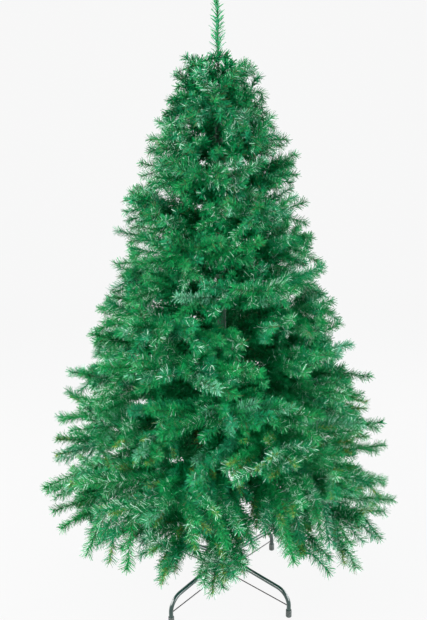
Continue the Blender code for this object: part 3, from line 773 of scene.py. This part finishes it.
# needles on one stem and its twigs, and on the finer sprays that fork from them
def dressBranch(chance, tier, stem, twigs, pulled):
    share = tier / topTier
    radius, reach = mix(*spray["radius"], share), mix(*twigRule["reach"], share)
    calm = 1.0 - spray["calmTop"] * share**3  # the highest tiers stay closer to their twigs

    def between(key):
        return chance.uniform(*spray[key])

    def dress(path, size, spread=crownLimit["shootSpread"]):
        path = sighted(withinCrown(chance, path, spread)) if spread else sighted(path, False)
        if len(path) >= spray["fewest"]:
            wires.append(path)
            dressBrush(chance, path, tier, needleLength(radius, size))

    tips = sighted(withinCrown(chance, stem, crownLimit["spread"]))
    stems.append(tips)
    dressBrush(chance, tips, tier, needleLength(radius), True)
    for kind in ("stem", "inner"):
        for _ in range(round(mix(*spray[kind + "Shoots"], share))):
            room = (reach - spray["stemRoom"] * radius) * between(kind + "Drift")
            shoot = shootPath(chance, stem, room, spray[kind + "Ends"], tier == 0 and kind == "stem", calm)
            dress(shoot, between("sizes"))
    for _ in range(round(mix(*spray["sideShoots"], share))):
        dress(sideShoot(chance, stem, tier), between("sizes"))
    for _ in range(round(mix(*spray["fillers"], share))):
        dress(fillShoot(chance, stem), between("sizes"))
    for index, twig in enumerate(twigs):
        dress(twig, 1.0, None if index in pulled else crownLimit["spread"])
        for _ in range(int(mix(*spray["shoots"], share) + chance.random())):
            room = (reach - spray["twigRoom"] * radius) * between("drift")
            dress(shootPath(chance, twig, room, spray["ends"], tier == 0, calm), between("sizes"))
        for _ in range(int(mix(*spray["strays"], share) + chance.random())):
            dress(strayShoot(chance, twig, tier), between("sizes"))


def growCrown():
    chance = np.random.default_rng(spray["seed"])
    grown = []
    for tier, branches in enumerate(crown["branches"]):
        for number in range(branches):
            stem, twigs = growBranch(tier, number)
            grown.append((tier, trimmed(stem, tier), [trimmed(twig, tier) for twig in twigs]))
    pulled = pullTips([twigs for _, _, twigs in grown])
    for branch, (tier, stem, twigs) in enumerate(grown):
        dressBranch(chance, tier, stem, twigs, {index for one, index in pulled if one == branch})
    points = np.concatenate([np.concatenate([stem] + twigs) for _, stem, twigs in grown])
    for hanging, places in enumerate((outerTips["grown"], outerTips["hanging"])):
        for place in places:
            path = grownTip(chance, points, hanging, *place)
            wires.append(path)
            tier = min(range(topTier + 1), key=lambda one: abs(tierTip(one) - place[2]))
            radius = mix(*spray["radius"], tier / topTier)
            dressBrush(chance, path, tier, needleLength(radius, spray["hangSize"] if hanging else 1.0))
    for _ in range(spray["poleShoots"]):  # these close the crown round the pole, high up
        turn, foot = chance.uniform(0, 2 * pi), chance.uniform(*spray["poleShootFoot"])
        reach = crownRadius(foot) * chance.uniform(*spray["poleShootReach"])
        shares = np.linspace(0, 1, spray["polePoints"])[:, None]
        rise = chance.uniform(*spray["poleShootSlope"])
        root = np.array(polar(spray["poleShootStart"], turn, foot))
        path = root + np.array(polar(reach, turn, rise * reach)) * shares
        path = sighted(withinCrown(chance, path, crownLimit["shootSpread"]))
        wires.append(path)
        dressBrush(chance, path, topTier - 1, spray["poleShootNeedle"])
    for _ in range(leaderRule["crownShoots"]):  # short sprays round the leader's foot
        turn = chance.uniform(0, 2 * pi)
        tip = polar(chance.uniform(*leaderRule["shootReach"]), turn, chance.uniform(*leaderRule["shootTop"]))
        foot = np.array([0.0, 0.0, leaderRule["shootFoot"]])
        path = arched(foot, np.array(tip), leaderRule["shootPoints"], leaderRule["shootArch"])
        wires.append(path)
        dressBrush(chance, path, topTier, leaderRule["shootNeedle"])


def growLeader():
    chance = np.random.default_rng(spray["seed"] + 1)
    low, high, parts = pole["top"] + leaderRule["gap"], leaderRule["top"], leaderRule["parts"]
    heights = np.linspace(low, high - leaderRule["bareTop"], leaderRule["points"])
    path = np.array([(0.0, 0.0, height) for height in heights])
    distances = alongPath(path)
    silver, blue, green = leaderRule["shares"]
    for part in range(parts):
        share, isLast = part / (parts - 1), part == parts - 1
        section = sample(path, distances, np.linspace(part, part + 1, 8) / parts * distances[-1])
        lean, length = mix(*leaderRule["lean"], share), mix(*leaderRule["length"], share)
        leans, bare = (lean, leaderRule["tipLean"] if isLast else lean), 0.0 if part else leaderRule["bare"]
        corners = brushNeedles(chance, section, leaderRule["density"], length, leans, bare)[0]
        close = chance.random(len(corners)) < leaderRule["closeShare"]  # these stay close to the wire
        roots = corners[close, :2][:, ::-1]
        corners[close, 2:] = roots + (corners[close, 2:] - roots) * leaderRule["closeReach"]
        corners = widened(corners, leaderRule["width"])
        corners[:, :, 2] = np.minimum(corners[:, :, 2], high)
        pick = chance.random(len(corners))
        # pale needles here are a painted highlight; the rest keep the film's own greens
        names = np.select([pick < silver, pick < blue, pick < green], ["silver", "blue", "green"], "deep")
        keepNeedles(names, corners, len(regions) - 1)
    return path


# an object from arrays: points (n, 3) and four-cornered faces (m, 4)
def arrayMesh(name, points, faces, finish, smooth=False):
    mesh = bpy.data.meshes.new(name)
    mesh.vertices.add(len(points))
    mesh.vertices.foreach_set("co", points.astype(np.float32).ravel())
    mesh.loops.add(faces.size)
    mesh.loops.foreach_set("vertex_index", faces.astype(np.int32).ravel())
    mesh.polygons.add(len(faces))
    mesh.polygons.foreach_set("loop_start", np.arange(0, faces.size, 4, dtype=np.int32))
    mesh.update(calc_edges=True)
    mesh.polygons.foreach_set("use_smooth", np.full(len(faces), smooth))
    mesh.materials.append(finish)
    piece = linked(name, mesh)
    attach(piece, "root")
    return piece


wireEnd = 0.7  # how thick a wire ends, as a share of its start


# tubes along many paths, and with turns, each one flattened and twisted like a pair of wires
def wireTube(paths, radius, sides, turns, squeeze):
    points, faces, offset = [], [], 0
    angles, around = 2 * pi * np.arange(sides) / sides, np.arange(sides)[None, :]
    for path in paths:
        across, up = sideways(unit(np.gradient(path, axis=0)))
        twist = (2 * pi * turns * alongPath(path))[:, None]
        thin = np.linspace(1.0, wireEnd, len(path))[:, None]
        wide = radius * thin * np.cos(angles)[None, :]
        narrow = radius * squeeze * thin * np.sin(angles)[None, :]
        x = wide * np.cos(twist) - narrow * np.sin(twist)
        y = wide * np.sin(twist) + narrow * np.cos(twist)
        rings = path[:, None, :] + x[:, :, None] * across[:, None, :] + y[:, :, None] * up[:, None, :]
        points.append(rings.reshape(-1, 3))
        base = offset + sides * np.arange(len(path) - 1)[:, None]
        ring, after = base + around, base + (around + 1) % sides
        faces.append(np.stack([ring, after, after + sides, ring + sides], axis=2).reshape(-1, 4))
        offset += sides * len(path)
    return np.concatenate(points), np.concatenate(faces)


growCrown()
leaderPath = growLeader()
allBranches = [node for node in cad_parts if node.startswith("branch_") or node == "leader"]


def nodesOf(region):
    low, high = regions[region]
    nodes = [n for n in allBranches if n.startswith("branch_") and low < int(n.split("_")[1]) <= high]
    return nodes + (["leader"] if region == len(regions) - 1 else [])


pieceLimit = 95000  # needles, so that a piece stays under 200,000 triangles
total = 0
for (kind, region), rows in sorted(needles.items()):
    corners = np.concatenate(rows)
    faces = np.arange(len(corners) * 4).reshape(-1, 4)
    parts = -(-len(corners) // pieceLimit)
    for part in range(parts):
        chosen = corners[part::parts]
        name = f"needles_{kind}_{region + 1}" + (f"_{part + 1}" if parts > 1 else "")
        piece = arrayMesh(name, chosen.reshape(-1, 3), faces[:len(chosen)], finishes[kind])
        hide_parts(*nodesOf(region))
    total += len(corners)
thinned = [wire[::2] if len(wire) > 8 else wire for wire in wires]
tubes = {  # paths, radius, sides, turns on a metre and how flat
    "branch_stems": (stems, 0.0021, 6, 55.0, 0.62),
    "twig_wires": (thinned, 0.0009, 3, 0.0, 1.0),
    "leader_wire": ([leaderPath], leaderRule["core"], 10, 40.0, 0.7),
}
for name, tube in tubes.items():
    piece = arrayMesh(name, *wireTube(*tube), finishes["wire"], smooth=True)
    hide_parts(*allBranches)
print("crown ready:", total, "needles,", len(wires), "sprays")


# pole and stand

def keepPiece(bm, name, finish, slotName, *nodes):
    piece = newObject(bm, name, finish)
    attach(piece, "root")
    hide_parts(*nodes)


# turns a profile of (radius, height) about Z
def lathe(bm, profile, sides):
    before = set(bm.verts)
    ring = [bm.verts.new((radius, 0, height)) for radius, height in profile]
    edges = [bm.edges.new(pair) for pair in zip(ring, ring[1:])]
    bmesh.ops.spin(bm, geom=ring + edges, cent=(0, 0, 0), axis=(0, 0, 1), angle=2 * pi, steps=sides,
                   use_merge=True, use_duplicate=False)
    bmesh.ops.remove_doubles(bm, verts=[v for v in bm.verts if v not in before], dist=1e-6)
    return [v for v in bm.verts if v not in before]


def block(bm, size, offset, segments):
    made = bmesh.ops.create_cube(bm, size=1.0)["verts"]
    bmesh.ops.scale(bm, verts=made, vec=size)
    edges = list(dict.fromkeys(e for v in made for e in v.link_edges))
    return bmesh.ops.bevel(bm, geom=edges, offset=offset, offset_type="OFFSET", segments=segments,
                           profile=0.5, material=-1, affect="EDGES")["verts"]


def laydown(angle):
    return Vector((0, 0, 1)).rotation_difference(polar(1, angle, 0)).to_matrix()


def placed(bm, verts, matrix, offset):
    bmesh.ops.rotate(bm, verts=verts, matrix=matrix)
    bmesh.ops.translate(bm, verts=verts, vec=offset)


# the same profile with each inner corner cut back in two short steps
def eased(profile, corner=0.0006):
    points = [Vector(p) for p in profile]
    out = [points[0]]
    for before, here, after in zip(points, points[1:], points[2:]):
        back, forth = before - here, after - here
        cut = min(corner, back.length / 3, forth.length / 3)
        if cut < 1e-5:
            out.append(here)
            continue
        first, last = here + back.normalized() * cut, here + forth.normalized() * cut
        out += [first, (first + last) / 4 + here / 2, last]
    return [tuple(p) for p in out + [points[-1]]]


def makePole():
    bm = bmesh.new()
    profile = [(0, pole["foot"]), (pole["radii"][0], pole["foot"])]
    for joint, inner in zip(pole["joints"], pole["radii"]):
        half, radius = pole["jointSleeve"] / 2, inner + pole["jointWall"]
        low, high = joint - half, joint + half
        profile += [(poleRadius(low), low - pole["jointSlope"]), (radius, low), (radius, high),
                    (radius - 0.0007, high + 0.0004), (poleRadius(high), high + 0.0006)]
    profile += [(pole["radii"][-1], pole["top"] - 0.008), (pole["topRadius"], pole["top"]), (0, pole["top"])]
    lathe(bm, eased(profile), pole["sides"])
    lip, lipHeight = pole["collarLip"]
    thick, wide, tall = pole["lug"]
    for tier, count in enumerate(crown["branches"]):
        middle = tierHeight(tier, 0.0)
        inner, outer = poleRadius(middle), poleRadius(middle) + pole["collarWall"]
        low, high = middle - pole["collarHeight"] / 2, middle + pole["collarHeight"] / 2
        ring = [(inner - 0.0002, low), (inner + lip, low), (inner + lip, low + lipHeight),
                (outer, low + lipHeight), (outer, high - lipHeight), (inner + lip, high - lipHeight),
                (inner + lip, high), (inner - 0.0002, high)]
        lathe(bm, eased(ring, 0.0004), pole["sides"])
        for number in range(count):  # a bent lug holds each branch's hook
            angle = crown["firstTurn"] + tier * crown["turn"] + 2 * pi * number / count
            made = block(bm, (thick, wide, pole["collarHeight"] * tall), 0.0006, 2)
            placed(bm, made, Matrix.Rotation(angle, 3, "Z"), polar(outer - thick / 2, angle, middle))
    keepPiece(bm, "trunk_pole", finishes["polePaint"], "pole", "pole")


stand = {
    "angles": (-45, 45, 135, 225), "names": ("front_right", "back_right", "back_left", "front_left"),
    "footRadius": 0.250, "tube": 0.0065, "socket": (0.0085, 0.0310), "slope": -0.095, "bend": 0.046,
    "legEnd": 0.0050, "legHeight": 0.099, "startGap": 0.0003, "sides": 32, "bendSteps": 14,
    "cap": (0.0088, 0.023, 0.0046), "capRibs": (0.0065, 0.0105, 0.0145), "ribDepth": 0.0004,
    "stay": 0.0017, "stayHeights": (0.046, 0.036), "ear": (0.0042, 0.0250),
    "sleeve": (0.0182, 0.0150, 0.026, 0.165), "sleeveStep": 0.0012, "mouth": (0.0068, 0.006),
    "screwHeight": 0.143, "screwAngles": (0, 180), "flange": (0.0055, 0.004), "shank": (0.0030, 0.018),
    "threadPitch": 0.0010, "wing": (0.012, 0.003, 0.022), "wingEdge": 0.0013,
}
legStart = stand["socket"][1] + stand["startGap"] - stand["tube"] * stand["slope"]


# a tube: a straight run that falls a little, a bend of one radius and a short upright end
def makeLeg(name, angle):
    fall = atan(-stand["slope"])
    bend, start = stand["bend"], Vector((legStart, 0, stand["legHeight"]))
    cornerHeight = stand["legHeight"] + stand["slope"] * (stand["footRadius"] - legStart)
    tangent = bend * tan((pi / 2 - fall) / 2)
    centre = Vector((stand["footRadius"] - bend, 0, cornerHeight - tangent))
    bm = bmesh.new()
    bmesh.ops.create_circle(bm, segments=stand["sides"], radius=stand["tube"])
    placed(bm, bm.verts, Matrix.Rotation(pi / 2 + fall, 3, "Y"), start)
    run = (centre + bend * Vector((sin(fall), 0, cos(fall))) - start).length
    first = list(bm.edges)
    rim = extruded(bm, first, Vector((cos(fall), 0, -sin(fall))) * run)
    rim = swept(bm, rim, centre, (0, 1, 0), pi / 2 - fall, stand["bendSteps"])
    rim = extruded(bm, rim, (0, 0, stand["legEnd"] - centre.z))
    for edges in (rim, first):
        bmesh.ops.contextual_create(bm, geom=edges)
    placed(bm, bm.verts, Matrix.Rotation(angle, 3, "Z"), (0, 0, 0))
    keepPiece(bm, "tube_" + name, finishes["legPaint"], "stand", "leg_" + name)


def makeCap(name, angle):
    radius, height, floor = stand["cap"]
    wall, groove = stand["tube"] + 0.0002, radius - stand["ribDepth"]
    profile = [(0, 0), (radius - 0.0011, 0), (radius, 0.0011)]
    for rib in stand["capRibs"]:
        profile += [(radius, rib - 0.0007), (groove, rib - 0.0004)]
        profile += [(groove, rib + 0.0004), (radius, rib + 0.0007)]
    profile += [(radius, height - 0.0030), (radius - 0.0003, height - 0.0006), (radius - 0.0008, height),
                (wall, height), (wall, floor), (0, floor)]
    bm = bmesh.new()
    verts = lathe(bm, profile, 40)
    bmesh.ops.translate(bm, verts=verts, vec=polar(stand["footRadius"], angle, 0))
    keepPiece(bm, "boot_" + name, finishes["capRubber"], "foot_caps", "cap_" + name)


# a straight wire with a thicker end at the sleeve and at the leg
def makeStay(name, angle):
    inner = polar(stand["ear"][1] + 0.0003, angle, stand["stayHeights"][0])
    outer = polar(stand["footRadius"] - stand["tube"] - 0.0003, angle, stand["stayHeights"][1])
    bm = bmesh.new()
    length, thick, thin = (outer - inner).length, stand["stay"], stand["stay"] * 0.97
    lathe(bm, eased([(0, 0), (thick, 0), (thick, 0.006), (thin, 0.010), (thin, length - 0.010),
                     (thick, length - 0.006), (thick, length), (0, length)], 0.0004), 20)
    heading = (outer - inner).normalized()
    placed(bm, bm.verts, Vector((0, 0, 1)).rotation_difference(heading).to_matrix(), inner)
    keepPiece(bm, "wire_stay_" + name, finishes["stayWire"], "stays", "stay_" + name)


def makeSleeve():
    outer, bore, foot, top = stand["sleeve"]
    socket, socketReach = stand["socket"]
    ear, earReach = stand["ear"]
    mouth, mouthDepth = stand["mouth"]
    slim, root = outer - stand["sleeveStep"], outer - 0.003
    bm = bmesh.new()
    profile = [(bore, foot), (outer, foot), (outer, foot + 0.004), (slim, foot + 0.005), (slim, top - 0.005),
               (outer, top - 0.004), (outer, top), (bore, top), (bore, foot)]
    lathe(bm, eased(profile), pole["sides"])
    cup = [(0, root), (socket + 0.0016, root), (socket + 0.0012, outer + 0.0010), (socket, outer + 0.0022),
           (socket, socketReach - 0.0012), (socket - 0.0006, socketReach), (mouth, socketReach),
           (mouth, socketReach - mouthDepth), (0, socketReach - mouthDepth)]
    lug = [(0, root), (ear, root), (ear, earReach - 0.0020), (ear - 0.0010, earReach - 0.0006),
           (ear - 0.0020, earReach), (0, earReach)]
    for degrees in stand["angles"]:
        for shape, sides, height in ((cup, 36, stand["legHeight"]), (lug, 28, stand["stayHeights"][0])):
            placed(bm, lathe(bm, eased(shape, 0.0004), sides), laydown(radians(degrees)), (0, 0, height))
    keepPiece(bm, "hub_sleeve", finishes["legPaint"], "stand", "stand_sleeve")


def makeScrew(name, angle):
    face = stand["sleeve"][0] + 0.0003
    flange, flangeWidth = stand["flange"]
    shank, shankLength = stand["shank"]
    end, height = face + shankLength, face + flangeWidth
    profile = [(0, face), (flange, face), (flange, face + flangeWidth * 0.5), (shank * 1.5, height)]
    while height < end - 0.004:
        profile += [(shank * 0.86, height + 0.0003), (shank, height + 0.0007)]
        height += stand["threadPitch"]
    profile += [(shank, end), (0, end)]
    bm = bmesh.new()
    placed(bm, lathe(bm, profile, 28), laydown(angle), (0, 0, stand["screwHeight"]))
    made = block(bm, stand["wing"], stand["wingEdge"], 4)
    wingPlace = polar(end + stand["wing"][0] / 3, angle, stand["screwHeight"])
    placed(bm, made, Matrix.Rotation(angle, 3, "Z"), wingPlace)
    keepPiece(bm, "thumb_" + name, finishes["stayWire"], "stays", name)


makePole()
for name, degrees in zip(stand["names"], stand["angles"]):
    makeLeg(name, radians(degrees))
    makeCap(name, radians(degrees))
    makeStay(name, radians(degrees))
makeSleeve()
for name, degrees in zip(("screw_right", "screw_left"), stand["screwAngles"]):
    makeScrew(name, radians(degrees))
print("pole and stand ready")
